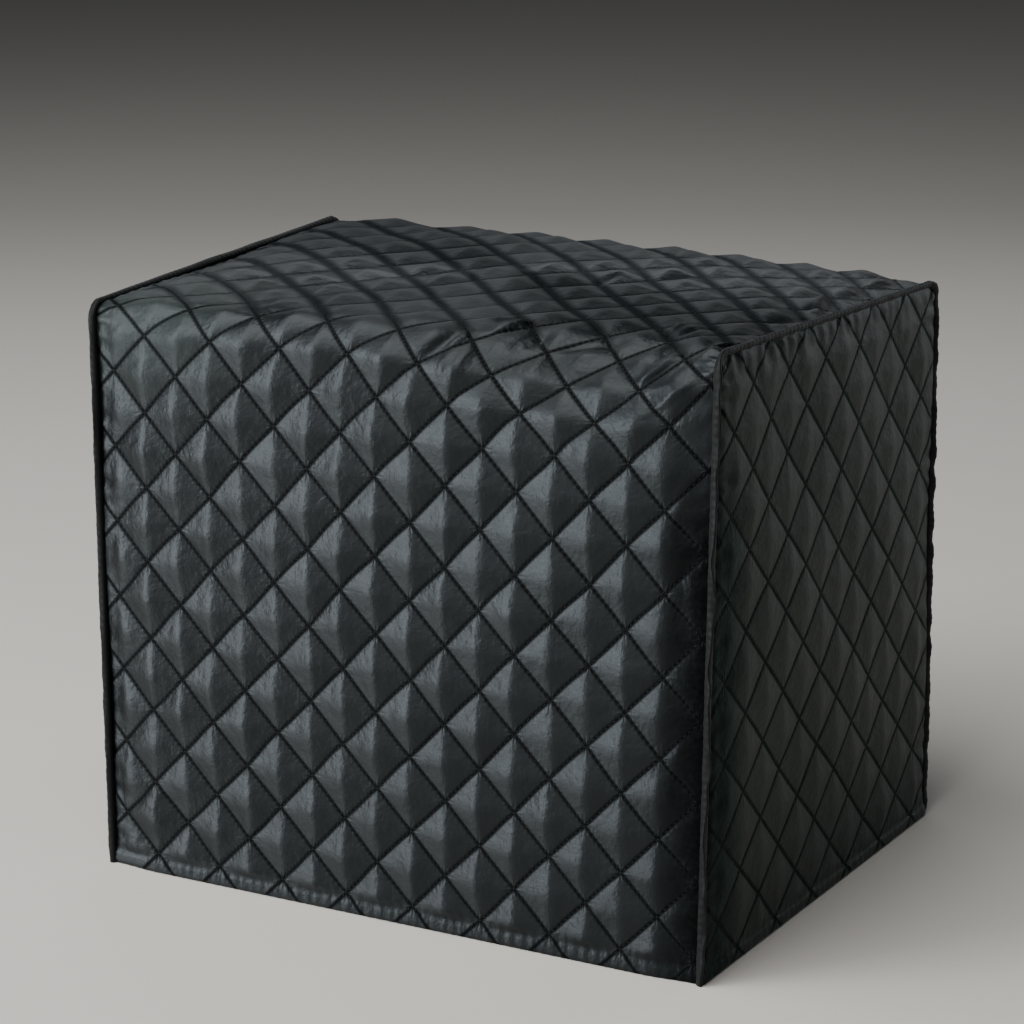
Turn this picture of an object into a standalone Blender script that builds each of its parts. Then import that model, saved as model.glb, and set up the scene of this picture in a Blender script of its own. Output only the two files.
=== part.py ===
"""Cover for a bread maker: a quilted cloth box, open at the bottom, that stands on its hem.

One quilted strip goes up the front, over the top and down the back. A quilted panel closes
each end. A narrow binding covers each seam between the strip and an end.

Metres, +Z up. The front faces -Y. The origin is at the middle of the base.
"""

import math

import bmesh
import bpy
from mathutils import Vector

# Driving sizes of the cover as a plain box, before it slumps
WIDTH = 0.380
DEPTH = 0.272
HEIGHT = 0.325

# Quilting: squares of 30 mm sewn on the bias, so their diagonals stand upright and level
QUILT_DIAGONAL = 0.0424
QUILT_STEP = QUILT_DIAGONAL / 2
PUFF_RISE_UPRIGHT = 0.0034
PUFF_RISE_TOP = 0.0026
PUFF_RISE_END = 0.0020
PUFF_FULLNESS = 0.75
PUFF_SEAM_FADE = 0.018
CROSSING_DIP = 0.0004

# Where one stitch crossing lies: across the strip and up its front, and on an end panel
STRIP_CROSSING = (0.0141, 0.2024)
END_CROSSING = (0.0380, 0.0070)

# Cloth
SHEET = 0.0015
HEM_HEIGHT = 0.0070
HEM_THICKNESS = 0.0026
PIECE_GAP = 0.0003

# Binding: a soft round edge about 5 mm thick, sunk a little into the corner
BINDING_RADIUS = 0.0024
BINDING_SINK = 0.0015
BINDING_SIDES = 8
BINDING_STEP = 0.016
BINDING_ARC_STEPS = 4
BINDING_WOBBLE = 0.0005
BINDING_WOBBLE_TURNS = (1.9, 0.7)
BINDING_WOBBLE_SIDE = 0.5
BINDING_LIFT_OFF = 0.0008
SEAM_INSET = BINDING_SINK + BINDING_RADIUS + PIECE_GAP

# Folds at the front and back of the top: tight at the seams, soft in the middle
FOLD_AT_SEAM = 0.010
FOLD_FRONT_MIDDLE = 0.0165
FOLD_BACK_MIDDLE = 0.016
FOLD_SEAM_REACH = 0.040

# The front fold slumps into a much wider round towards its right end
FOLD_SLUMP = 0.036
FOLD_SLUMP_PLACE = 0.79 * WIDTH
FOLD_SLUMP_SPREAD = 0.20 * WIDTH

# How far the cloth stands out of its flat planes. The top is fullest behind its middle.
FRONT_BULGE = 0.0020
TOP_CROWN = 0.0070
TOP_CROWN_LEAN = 2.0
END_BULGE = 0.0015

# How far the strip is drawn in along its seams, and over what distance
SEAM_DIP = 0.0022
SEAM_DIP_REACH = 0.030

# The strip was sewn a little askew: its cloth drifts to the right as it goes over the top,
# between its sewn edges, which hold it
SKEW = 0.0205
SKEW_START = 0.270
SKEW_END = 0.385
SKEW_ONWARD = 0.05
SKEW_LEFT_HOLD = 0.063
SKEW_RIGHT_HOLD = 0.088

# Slight waves of the hanging cloth, which die out towards the base. The two ends differ.
SWAY = 0.0008
SWAY_LENGTH = 0.130
SWAY_LENGTH_UPWARD = 0.182
SWAY_START = 0.027
SWAY_SETTLE_HEIGHT = 0.108
SWAY_END_SHIFT = 0.050

# A quilting line nearer than this to another row of points is left out
SLIVER = 0.0045

# How much the height of a cell's diagonal counts beside its slope, when a cell is split
DIAGONAL_HEIGHT_WEIGHT = 0.1

# Where the middle of the base lies, from the front left corner of the plain box
MIDDLE_X = 0.1884
MIDDLE_Y = 0.1389

# How far each corner has moved from the plain box, in millimetres.
# Columns: right end, back, top, then the moves along X, Y and Z.
CORNER_MOVES_MM = (
    (0, 0, 0, 6.0, -5.3, 0.0),
    (1, 0, 0, -6.2, -0.9, 0.0),
    (1, 1, 0, 2.1, 11.7, 0.0),
    (0, 1, 0, 4.0, 6.0, 0.0),
    (0, 0, 1, 2.9, 1.2, -4.5),
    (1, 0, 1, -0.5, 0.8, 4.2),
    (1, 1, 1, 3.8, 0.5, -5.1),
    (0, 1, 1, -7.7, -4.2, 3.5),
)

# Colour as (red, green, blue), then roughness
FINISHES = {
    "quilted_cloth": ((0.016, 0.019, 0.022), 0.42),
    "binding_cloth": ((0.010, 0.011, 0.012), 0.55),
}


def hang(point):
    """Take a point of the plain box to where the slumped cover holds it."""
    share = (point.x / WIDTH, point.y / DEPTH, point.z / HEIGHT)
    moved = Vector((point.x - MIDDLE_X, point.y - MIDDLE_Y, point.z))
    for right, back, top, *move_mm in CORNER_MOVES_MM:
        weight = 1.0
        for side, part in zip((right, back, top), share):
            weight *= part if side else 1.0 - part
        moved += Vector(move_mm) * (weight / 1000.0)
    return moved


def arch(share):
    """A smooth hump: nothing at 0 and 1, full in the middle."""
    return math.sin(math.pi * min(max(share, 0.0), 1.0))


def ease(share):
    """A soft step from 0 to 1."""
    share = min(max(share, 0.0), 1.0)
    return share * share * (3 - 2 * share)


def sway(along, upward, height):
    """The slight unevenness of hanging cloth, which dies out at the base."""
    settle = min(1.0, max(height, 0.0) / SWAY_SETTLE_HEIGHT)
    level_wave = math.sin(math.tau * (along + SWAY_START) / SWAY_LENGTH)
    return SWAY * settle * level_wave * math.cos(math.tau * upward / SWAY_LENGTH_UPWARD)


def puff(along, across, crossing, full_rise):
    """How far the filled cloth stands out of its stitch lines: a four-sided point per diamond."""
    a = (along - crossing[0]) / QUILT_STEP
    b = (across - crossing[1]) / QUILT_STEP
    # Distances to the two sets of stitch lines, 0 on a line and 1 halfway between two
    first = abs((a + b) / 2 - round((a + b) / 2)) * 2
    second = abs((a - b) / 2 - round((a - b) / 2)) * 2
    rise = full_rise * min(first, second) ** PUFF_FULLNESS
    return rise - CROSSING_DIP * max(0.0, 1.0 - first - second)


def strip_rise(across, path):
    """The height of full puffs at one place on the strip: less on the top and at the seams."""
    past_front = ease((path - HEIGHT) / QUILT_DIAGONAL + 0.5)
    past_back = ease((path - HEIGHT - DEPTH) / QUILT_DIAGONAL + 0.5)
    rise = PUFF_RISE_UPRIGHT + (PUFF_RISE_TOP - PUFF_RISE_UPRIGHT) * (past_front - past_back)
    return rise * ease((min(across, WIDTH - across) - SEAM_INSET) / PUFF_SEAM_FADE)


def end_rise(along, height):
    """The height of full puffs at one place on an end panel, which are less at its seams."""
    gap = min(along, DEPTH - along, HEIGHT - height) - SEAM_INSET
    return PUFF_RISE_END * ease(gap / PUFF_SEAM_FADE)


def fold_radii(across):
    """Radii of the front and back folds of the strip at one place across it."""
    near_seam = min(across, WIDTH - across) / FOLD_SEAM_REACH
    softness = math.sin(math.pi / 2 * min(max(near_seam, 0.0), 1.0))
    slump = FOLD_SLUMP * math.exp(-(((across - FOLD_SLUMP_PLACE) / FOLD_SLUMP_SPREAD) ** 2))
    front = FOLD_AT_SEAM + (FOLD_FRONT_MIDDLE - FOLD_AT_SEAM + slump) * softness
    back = FOLD_AT_SEAM + (FOLD_BACK_MIDDLE - FOLD_AT_SEAM) * softness
    return front, back


def around(path, front, back, lift):
    """A point on the strip's run, as (y, z): path is the length along the sharp-cornered box."""
    for corner, radius, turn, centre in (
        (HEIGHT, front, 0.0, (front, HEIGHT - front)),
        (HEIGHT + DEPTH, back, math.pi / 2, (DEPTH - back, HEIGHT - back)),
    ):
        off = path - corner
        if abs(off) < radius:
            angle = turn + math.pi / 4 * (1 + off / radius)
            reach = radius + lift
            return centre[0] - reach * math.cos(angle), centre[1] + reach * math.sin(angle)
    if path < HEIGHT:
        return -lift, path
    if path < HEIGHT + DEPTH:
        return path - HEIGHT, HEIGHT + lift
    return DEPTH + lift, 2 * HEIGHT + DEPTH - path


def strip_bulge(across, path):
    """How far the strip stands out between its seams, on its front, top and back."""
    gap = min(across, WIDTH - across) - SEAM_INSET
    dip = SEAM_DIP * (1 - ease(gap / SEAM_DIP_REACH))
    between = arch(across / WIDTH)
    if path < HEIGHT:
        return FRONT_BULGE * between * arch(path / HEIGHT) - dip
    if path < HEIGHT + DEPTH:
        share = (path - HEIGHT) / DEPTH
        return TOP_CROWN * between * arch(share**TOP_CROWN_LEAN) - dip
    return FRONT_BULGE * between * arch((path - HEIGHT - DEPTH) / HEIGHT) - dip


def skew(across, path):
    """How far to the right the cloth of the strip has drifted at one place."""
    from_left = max(across - SEAM_INSET, 0.0)
    from_right = max(WIDTH - SEAM_INSET - across, 0.0)
    free = (1 - math.exp(-from_left / SKEW_LEFT_HOLD)) * (
        1 - math.exp(-from_right / SKEW_RIGHT_HOLD)
    )
    onward = max(min(path, HEIGHT + DEPTH) - SKEW_END, 0.0)
    drift = SKEW * ease((path - SKEW_START) / (SKEW_END - SKEW_START)) + SKEW_ONWARD * onward
    return drift * free


def strip_point(across, path, lift):
    """A point of the strip, with lift measured outward from its stitch lines."""
    across += skew(across, path)
    front, back = fold_radii(across)
    height = min(path, HEIGHT, 2 * HEIGHT + DEPTH - path)
    out = lift + strip_bulge(across, path) + sway(across, path, height)
    y, z = around(path, front, back, out)
    return hang(Vector((across, y, z)))


def end_outline(along, height):
    """Pull the two top corners of an end panel in to the round of the seam."""
    radius = FOLD_AT_SEAM - SEAM_INSET
    low, high = SEAM_INSET, DEPTH - SEAM_INSET
    top = HEIGHT - SEAM_INSET
    centre_z = top - radius
    for centre_y, side in ((low + radius, -1), (high - radius, 1)):
        y, z = (along - centre_y) * side, height - centre_z
        if y > 0 and z > 0:
            longest = max(y, z) / math.hypot(y, z)
            return centre_y + side * y * longest, centre_z + z * longest
    return along, height


def end_point(along, height, lift, right):
    """A point of an end panel: along goes from front to back, lift is outward."""
    y, z = end_outline(along, height)
    out = lift + END_BULGE * arch(along / DEPTH) * arch(height / HEIGHT)
    out += sway(along + (SWAY_END_SHIFT if right else 0.0), height, height)
    x = WIDTH + out if right else -out
    return hang(Vector((x, y, z)))


def rows(start, end, crossing, extra, inner_step):
    """Rows of points from start to end, for the quilted face and for the plain face inside.

    The ends and the extra rows, which a fold or a hem needs, are in both.
    """
    kept = sorted({start, end, *extra})

    def clear(step):
        first = math.ceil((start - crossing) / step)
        last = math.floor((end - crossing) / step)
        lines = [crossing + index * step for index in range(first, last + 1)]
        return [line for line in lines if min(abs(line - other) for other in kept) > SLIVER]

    return sorted(kept + clear(QUILT_STEP / 2)), sorted(kept + clear(inner_step))


def split_cell(corners, heights):
    """Split a four-sided cell in two along a stitch line, or else along its levelest diagonal."""
    def roughness(first, second):
        level = DIAGONAL_HEIGHT_WEIGHT * (heights[first] + heights[second])
        return abs(heights[first] - heights[second]) + level

    if roughness(0, 2) <= roughness(1, 3):
        return (corners[0], corners[1], corners[2]), (corners[0], corners[2], corners[3])
    return (corners[0], corners[1], corners[3]), (corners[1], corners[2], corners[3])


def rim_faces(mesh, outer, inner):
    """Join two rows of (position, vertex), of which the outer one has points in between."""
    for (low, first), (high, second) in zip(inner, inner[1:]):
        between = [vertex for position, vertex in outer if low <= position <= high]
        mesh.faces.new([*between, second, first])


def quilted_sheet(name, columns, levels, place, full_rise, crossing, plain_levels, finish):
    """Build one closed quilted sheet.

    Columns and levels are its rows of points both ways, for the quilted face and the plain
    one. place(column, level, lift) puts a point in space, and full_rise(column, level) is the
    height of full puffs there. The levels in plain_levels lie in a hem, flat and thicker.
    """
    mesh = bmesh.new()
    hem_lift = (HEM_THICKNESS - SHEET) / 2
    ends = (columns[0][0], columns[0][-1])
    tips = (levels[0][0], levels[0][-1])
    lifts = {}
    outer = {}
    inner = {}
    for column in columns[0]:
        for level in levels[0]:
            lift = puff(column, level, crossing, full_rise(column, level))
            flat = column in ends or level in tips
            lifts[column, level] = hem_lift if level in plain_levels else 0.0 if flat else lift
            point = place(column, level, lifts[column, level])
            outer[column, level] = mesh.verts.new(point)
    for column in columns[1]:
        for level in levels[1]:
            depth = SHEET + (hem_lift if level in plain_levels else 0.0)
            inner[column, level] = mesh.verts.new(place(column, level, -depth))

    def cells(rows_both_ways):
        for left, right in zip(rows_both_ways[0], rows_both_ways[0][1:]):
            for low, high in zip(rows_both_ways[1], rows_both_ways[1][1:]):
                yield (left, low), (right, low), (right, high), (left, high)

    for cell in cells((columns[0], levels[0])):
        heights = [lifts[corner] for corner in cell]
        for triangle in split_cell([outer[corner] for corner in cell], heights):
            mesh.faces.new(triangle)
    for cell in cells((columns[1], levels[1])):
        mesh.faces.new([inner[corner] for corner in reversed(cell)])
    for tip in tips:
        rim_faces(
            mesh,
            [(column, outer[column, tip]) for column in columns[0]],
            [(column, inner[column, tip]) for column in columns[1]],
        )
    for end in ends:
        rim_faces(
            mesh,
            [(level, outer[end, level]) for level in levels[0]],
            [(level, inner[end, level]) for level in levels[1]],
        )
    return finished(name, mesh, finish)


def finished(name, mesh, finish):
    """Turn a bmesh into an object with its faces pointing out and its cloth on it."""
    bmesh.ops.recalc_face_normals(mesh, faces=mesh.faces)
    data = bpy.data.meshes.new(name)
    mesh.to_mesh(data)
    mesh.free()
    data.materials.append(finish)
    obj = bpy.data.objects.new(name, data)
    bpy.context.collection.objects.link(obj)
    return obj


def cloth(name):
    """The plain cloth finish of one kind of piece."""
    colour, roughness = FINISHES[name]
    material = bpy.data.materials.new(name)
    material.use_nodes = True
    shader = material.node_tree.nodes["Principled BSDF"]
    shader.inputs["Base Color"].default_value = (*colour, 1.0)
    shader.inputs["Roughness"].default_value = roughness
    shader.inputs["Metallic"].default_value = 0.0
    return material


def main_panel(finish):
    """The strip that makes the front, the top and the back."""
    length = 2 * HEIGHT + DEPTH
    hems = (0.0, HEM_HEIGHT, length - HEM_HEIGHT, length)
    columns = rows(SEAM_INSET, WIDTH - SEAM_INSET, STRIP_CROSSING[0], (), QUILT_DIAGONAL)
    levels = rows(0.0, length, STRIP_CROSSING[1], hems, QUILT_STEP)
    shape = (strip_point, strip_rise, STRIP_CROSSING)
    quilted_sheet("main_panel", columns, levels, *shape, hems, finish)


def side_panel(name, right, finish):
    """The panel that closes one end."""
    radius = FOLD_AT_SEAM - SEAM_INSET
    low, high = SEAM_INSET, DEPTH - SEAM_INSET
    top = HEIGHT - SEAM_INSET
    hems = (0.0, HEM_HEIGHT)
    bends = (low + radius, high - radius)
    columns = rows(low, high, END_CROSSING[0], bends, QUILT_DIAGONAL)
    levels = rows(0.0, top, END_CROSSING[1], (*hems, top - radius), QUILT_DIAGONAL)

    def place(along, height, lift):
        return end_point(along, height, lift, right)

    quilted_sheet(name, columns, levels, place, end_rise, END_CROSSING, hems, finish)


def binding_route(right):
    """Points along the middle of one binding, up the front, along the top and down the back."""
    sink = BINDING_SINK
    radius = FOLD_AT_SEAM - sink
    low, high, top = sink, DEPTH - sink, HEIGHT - sink
    straight_up = round((top - radius - BINDING_LIFT_OFF) / BINDING_STEP)
    straight_back = round((high - low - 2 * radius) / BINDING_STEP)
    route = []
    for step in range(straight_up):
        height = BINDING_LIFT_OFF + (top - radius - BINDING_LIFT_OFF) * step / straight_up
        route.append((low, height, 0.0))
    for step in range(BINDING_ARC_STEPS):
        angle = math.pi / 2 * step / BINDING_ARC_STEPS
        y = low + radius - radius * math.cos(angle)
        route.append((y, top - radius + radius * math.sin(angle), angle))
    for step in range(straight_back):
        y = low + radius + (high - low - 2 * radius) * step / straight_back
        route.append((y, top, math.pi / 2))
    for step in range(BINDING_ARC_STEPS):
        angle = math.pi / 2 * (1 + step / BINDING_ARC_STEPS)
        y = high - radius - radius * math.cos(angle)
        route.append((y, top - radius + radius * math.sin(angle), angle))
    for step in range(straight_up + 1):
        height = top - radius - (top - radius - BINDING_LIFT_OFF) * step / straight_up
        route.append((high, height, math.pi))
    x = WIDTH - sink if right else sink
    return [(Vector((x, y, z)), angle) for y, z, angle in route]


def edge_binding(name, right, finish):
    """The soft round edge that covers one seam."""
    mesh = bmesh.new()
    quick_turn, slow_turn = BINDING_WOBBLE_TURNS
    sideways = Vector((1.0 if right else -1.0, 0.0, 0.0))
    rings = []
    for index, (centre, angle) in enumerate(binding_route(right)):
        outward = Vector((0.0, -math.cos(angle), math.sin(angle)))
        wobble = BINDING_WOBBLE * math.sin(index * quick_turn) * math.cos(index * slow_turn)
        ring = []
        for side in range(BINDING_SIDES):
            turn = math.tau * (side + 0.5) / BINDING_SIDES
            reach = BINDING_RADIUS
            direction = outward * math.cos(turn) + sideways * math.sin(turn)
            # The wobble only moves the half that faces away from the panels
            if math.cos(turn) + math.sin(turn) > BINDING_WOBBLE_SIDE:
                reach += abs(wobble)
            ring.append(mesh.verts.new(hang(centre + direction * reach)))
        rings.append(ring)
    for first, second in zip(rings, rings[1:]):
        for side in range(BINDING_SIDES):
            after = (side + 1) % BINDING_SIDES
            mesh.faces.new((first[side], first[after], second[after], second[side]))
    mesh.faces.new(rings[0])
    mesh.faces.new(rings[-1])
    finished(name, mesh, finish)


def main():
    """Clear the scene and build the five pieces of the cover."""
    for obj in list(bpy.data.objects):
        bpy.data.objects.remove(obj, do_unlink=True)
    quilted = cloth("quilted_cloth")
    binding = cloth("binding_cloth")
    main_panel(quilted)
    for end, right in (("right", True), ("left", False)):
        side_panel(f"side_panel_{end}", right, quilted)
        edge_binding(f"edge_binding_{end}", right, binding)


main()
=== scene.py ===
"""Looks of a quilted bread maker cover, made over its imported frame.

The cover is black satin, quilted in diamonds over thin wadding: one strip for the front, top
and back, a panel for each end, and a folded binding over each seam. Lengths are in metres,
the front faces -Y, and the cover stands on the floor at z = 0.
"""

import math

import bmesh
import bpy
import numpy as np
from bpy.props import FloatProperty, FloatVectorProperty, IntProperty, PointerProperty
from mathutils import Matrix, Vector


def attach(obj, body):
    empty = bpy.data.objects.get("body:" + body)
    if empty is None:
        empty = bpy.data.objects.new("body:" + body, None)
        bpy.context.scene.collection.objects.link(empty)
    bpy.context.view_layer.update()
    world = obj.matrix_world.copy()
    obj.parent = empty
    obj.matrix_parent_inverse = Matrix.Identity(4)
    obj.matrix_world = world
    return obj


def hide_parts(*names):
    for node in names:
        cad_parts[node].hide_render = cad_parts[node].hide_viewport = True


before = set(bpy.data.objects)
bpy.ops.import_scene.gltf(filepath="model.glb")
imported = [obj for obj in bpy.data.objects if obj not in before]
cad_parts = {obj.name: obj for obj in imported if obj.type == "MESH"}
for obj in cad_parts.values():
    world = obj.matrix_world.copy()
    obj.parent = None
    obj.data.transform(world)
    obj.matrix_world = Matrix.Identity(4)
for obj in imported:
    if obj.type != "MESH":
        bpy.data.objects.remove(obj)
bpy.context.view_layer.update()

bl_info = {
    "name": "Quilted Appliance Cover",
    "version": (1, 0, 0),
    "blender": (4, 5, 0),
    "location": "3D View > Sidebar > Cover",
    "description": "Builds a quilted cloth cover with its stitches, bindings and studio",
    "category": "Object",
}

MM = 0.001

# The cover as a plain box, before it slumps, as in the frame
WIDTH = 0.380
DEPTH = 0.272
HEIGHT = 0.325
RUN = 2 * HEIGHT + DEPTH
MIDDLE_X = 0.1884
MIDDLE_Y = 0.1389

# Quilting: half the diagonal of a diamond, the form of its puffs, how far the stitch lines
# wander near the seams and along them, and where one stitch crossing lies
QUILT_STEP = 0.0212
PUFF_SEAM_FADE = 0.018
CREST_ROUND = 0.07
LEVEL_ROUND = 0.13
PUFF_POWER = 0.97
ROW_GAP_SHARE = 0.3
PUFF_CHANCE = 0.28
CROSSING_HOLD = 0.14
DIAMOND_SIDE = QUILT_STEP * math.sqrt(2)
DRIFT_REACH = 0.030
DRIFT_LENGTH = 0.090
DRIFT_FINE_LENGTH = 0.034
STRIP_CROSSING = (0.0141, 0.2024)
END_CROSSING = (0.0380, 0.0070)

# Cloth and hem. A sheet is the cloth's thickness; the hem is folded up, so it is thicker.
ENDS = ("right", "left")
SHEET = 0.0015
HEM_HEIGHT = 0.0070
HEM_INSIDE = 0.00055
HEM_OUTSIDE = 0.00105
HEM_ROLL = 0.0016
HEM_ROLL_ROWS = (0.0009, 0.0026)
HEM_EDGE = (HEM_HEIGHT - 0.0006, HEM_HEIGHT + 0.0007)
HEM_QUILTING = (HEM_HEIGHT + 0.0006, HEM_HEIGHT + 0.0075)

# Stitches over the hem, and the puckers that they draw in it and just above it
HEM_STITCHING = HEM_HEIGHT - 0.0011
HEM_STITCH_WIDTH = 0.0008
HEM_STITCH_DEPTH = 0.00055
HEM_PUCKER = 0.00022
HEM_PUCKER_LENGTH = 0.0062
HEM_PUCKER_ABOVE = 0.00030
HEM_PUCKER_PLACE = HEM_HEIGHT + 0.0035
HEM_PUCKER_REACH = 0.0030

# Where the panels end under the bindings, and how the seams pull and gather them
SEAM_INSET = 0.0042
SEAM_TUCK = 0.0016
SEAM_PULL = 0.0010
SEAM_PULL_REACH = 0.0022
GATHER_LENGTH = 0.0115
GATHER_REACH = 0.010
GATHER_START = 0.0016

# How near the stitches come to the seams and the hems
STITCH_SEAM_GAP = 0.0050
STITCH_HEM_GAP = 0.0020
HEM_STITCH_END_GAP = 0.006

# Binding. Along the top of the right end it is laid down, and the left one is lower throughout.
BINDING_SINK = 0.0015
BINDING_SIDES = 16
BINDING_ROOT = 0.0021
BINDING_TIP_SINK = BINDING_SINK * 0.7
BINDING_NARROWING = 0.45
BINDING_FLOOR_GAP = 0.0003
BINDING_WAVER = 0.0009
BINDING_TWITCH = 0.0005
BINDING_PUCKER_LENGTH = 0.0048
BINDING_GROOVE = 0.00025
BINDING_LAID_RIGHT = 0.65
BINDING_LEFT_SHARE = 0.48
BINDING_RIGHT_SHIFT = 0.3
FOLD_AT_SEAM = 0.010

# Folds of the strip along the front and back of the top
FOLD_FRONT_MIDDLE = 0.0165
FOLD_BACK_MIDDLE = 0.016
FOLD_SEAM_REACH = 0.040

# The front fold slumps into a much wider round towards its right end
FOLD_SLUMP = 0.036
FOLD_SLUMP_PLACE = 0.79 * WIDTH
FOLD_SLUMP_SPREAD = 0.20 * WIDTH

# How far the cloth stands out of its flat planes. The top is fullest behind its middle.
FRONT_BULGE = 0.0020
TOP_CROWN = 0.0070
TOP_CROWN_LEAN = 2.0
END_BULGE = 0.0015

# How far the strip is drawn in along its seams, and over what distance
SEAM_DIP = 0.0022
SEAM_DIP_REACH = 0.030

# The strip was sewn a little askew: its cloth drifts to the right as it goes over the top,
# between its sewn edges, which hold it
SKEW = 0.0205
SKEW_START = 0.270
SKEW_END = 0.385
SKEW_ONWARD = 0.05
SKEW_LEFT_HOLD = 0.063
SKEW_RIGHT_HOLD = 0.088

# Slight waves of the hanging cloth, which die out towards the base. The two ends differ.
SWAY = 0.0008
SWAY_LENGTH = 0.130
SWAY_LENGTH_UPWARD = 0.182
SWAY_START = 0.027
SWAY_SETTLE_HEIGHT = 0.108
SWAY_END_SHIFT = 0.050

# How far each corner has moved from the plain box, in millimetres.
# Columns: right end, back, top, then the moves along X, Y and Z.
CORNER_MOVES_MM = (
    (0, 0, 0, 6.0, -5.3, 0.0),
    (1, 0, 0, -6.2, -0.9, 0.0),
    (1, 1, 0, 2.1, 11.7, 0.0),
    (0, 1, 0, 4.0, 6.0, 0.0),
    (0, 0, 1, 2.9, 1.2, -4.5),
    (1, 0, 1, -0.5, 0.8, 4.2),
    (1, 1, 1, 3.8, 0.5, -5.1),
    (0, 1, 1, -7.7, -4.2, 3.5),
)

# Creases of the strip, placed one by one. Columns: how far across, how far up the front and over
# the top, turn from level in degrees, length, width and height, all lengths in millimetres.
STRIP_CREASES = (
    (238, 348, 77, 20, 3.4, 2.6),
    (229, 351, 86, 24, 4.2, -2.3),
    (255, 336, 66, 22, 5.6, -2.3),
    (255, 335, 88, 12, 1.3, 2.0),
    (219, 331, 99, 15, 2.0, 2.0),
    (212, 323, 75, 28, 3.6, -2.0),
    (220, 313, 106, 18, 1.6, 0.9),
    (229, 314, 106, 18, 1.6, 0.9),
    (338, 322, 61, 27, 1.6, 1.8),
    (343, 326, 61, 27, 1.6, 1.7),
    (333, 330, 72, 30, 4.2, -2.6),
    (326, 377, 84, 30, 3.0, 2.1),
    (337, 372, 80, 28, 2.6, -1.6),
    (364, 330, 61, 24, 2.4, 2.0),
    (357, 326, 58, 24, 2.2, -1.6),
    (370, 349, 81, 24, 2.6, 1.8),
    (226, 465, 101, 20, 3.0, -1.6),
    (361, 474, 119, 40, 3.4, 2.1),
    (364, 430, 80, 30, 3.6, -1.6),
    (350, 302, 43, 34, 2.6, 1.3),
    (292, 340, 30, 34, 3.4, -1.6),
    (300, 334, 42, 26, 2.0, 1.2),
    (23, 318, 39, 28, 6.0, -0.9),
    (63, 310, 15, 50, 7.0, 0.8),
    (96, 336, 8, 44, 5.0, -0.8),
    (26, 40, 38, 50, 6.0, 0.7),
    (48, 26, 24, 46, 5.0, -0.6),
    (18, 66, 58, 38, 5.0, 0.6),
    (96, 30, 80, 34, 5.0, 0.5),
    (206, 30, 84, 32, 5.0, 0.5),
    (322, 36, 70, 42, 6.0, 0.6),
    (362, 120, 82, 46, 4.0, 0.7),
    (363, 196, 98, 40, 4.0, -0.7),
    (361, 250, 78, 42, 4.0, 0.8),
)

# Creases of an end panel. Columns: how far back from the front, how high, then as above.
END_CREASES = (
    (24, 314, 69, 20, 2.6, 0.8),
    (44, 313, 98, 22, 3.0, -0.6),
    (66, 314, 68, 20, 2.6, 0.8),
    (98, 312, 84, 24, 3.0, 0.6),
    (134, 315, 47, 22, 2.8, 0.8),
    (176, 313, 96, 22, 3.0, -0.6),
    (222, 312, 80, 24, 3.0, 0.6),
    (12, 256, 25, 20, 3.0, 0.7),
    (14, 200, -30, 24, 3.4, 0.6),
    (13, 150, 40, 22, 3.4, -0.6),
    (16, 70, 30, 30, 4.0, 0.6),
    (60, 22, 88, 24, 4.0, 0.4),
    (130, 20, 96, 22, 4.0, 0.4),
    (210, 24, 84, 26, 4.0, 0.4),
)

# Kinks of the right binding on its way up the front. Columns: height, sideways, spread, in mm.
BINDING_KINKS = (
    (280, 1.4, 10),
    (222, -1.8, 12),
    (199, 2.6, 8),
    (167, -2.2, 8),
    (120, 1.5, 13),
    (78, -2.0, 11),
    (30, 1.2, 10),
)

# Camera, measured from the front left corner of the plain box, and its turn in degrees
CAMERA_PLACE = (0.9827, -1.2750, 0.6264)
CAMERA_TURN = 29.37
CAMERA_DIP = 14.95
CAMERA_ROLL = -0.38
FOCAL_LENGTH_MM = 105.5
SENSOR_MM = 36.0

# Looks. A pace is how far a sine runs in one side of a diamond, or in half a diamond.
FULL_TURN = 6.28
SIDE_MM = DIAMOND_SIDE / MM
PUCKER_PACE = SIDE_MM * FULL_TURN / 3.3
BINDING_PUCKER_PACE = QUILT_STEP / MM * FULL_TURN / 4.4
# Centre of the painted sheen on the slumped front left corner, where the cloth catches the light
SHEEN_CORNER_X = -0.155
SHEEN_CORNER_Y = -0.125

# Studio
FLOOR_REACH = 8.0


def length_setting(name, description, default):
    """A length that a user may change."""
    return FloatProperty(name=name, description=description, default=default, unit="LENGTH")


def power_setting(name, description, default):
    """The power of a light, which a user may change."""
    return FloatProperty(name=name, description=description, default=default, unit="POWER")


def colour_setting(name, description, default):
    """A colour that a user may change."""
    return FloatVectorProperty(
        name=name, description=description, default=default, subtype="COLOR", size=3
    )


class QuiltSettings(bpy.types.PropertyGroup):
    """Sizes of the quilting and the folds."""

    rise: length_setting(
        "Puff rise",
        "How far a filled diamond of the front or back stands out of its stitch lines",
        0.0035,
    )
    rise_top: length_setting(
        "Puff rise on the top",
        "How far a filled diamond of the top stands out of its stitch lines",
        0.0031,
    )
    rise_end: length_setting(
        "Puff rise on the ends",
        "How far a filled diamond of an end stands out of its stitch lines",
        0.0020,
    )
    fineness: IntProperty(
        name="Fineness",
        description="Rows of points in half a diamond",
        default=10,
        min=5,
    )
    inner_fineness: IntProperty(
        name="Inner fineness",
        description="Rows of points in half a diamond on the plain inner face",
        default=2,
        min=1,
    )
    wrinkle: length_setting(
        "Crossing wrinkle", "Height of the wrinkles that spread from each stitch crossing", 0.00035
    )
    gather: length_setting("Seam gather", "Height of the small gathers along the seams", 0.00075)
    drift: length_setting(
        "Stitch drift", "How far a stitch line wanders from its ruled place", 0.0008
    )
    seed: IntProperty(name="Seed", description="Choice of unevenness", default=7)


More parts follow.
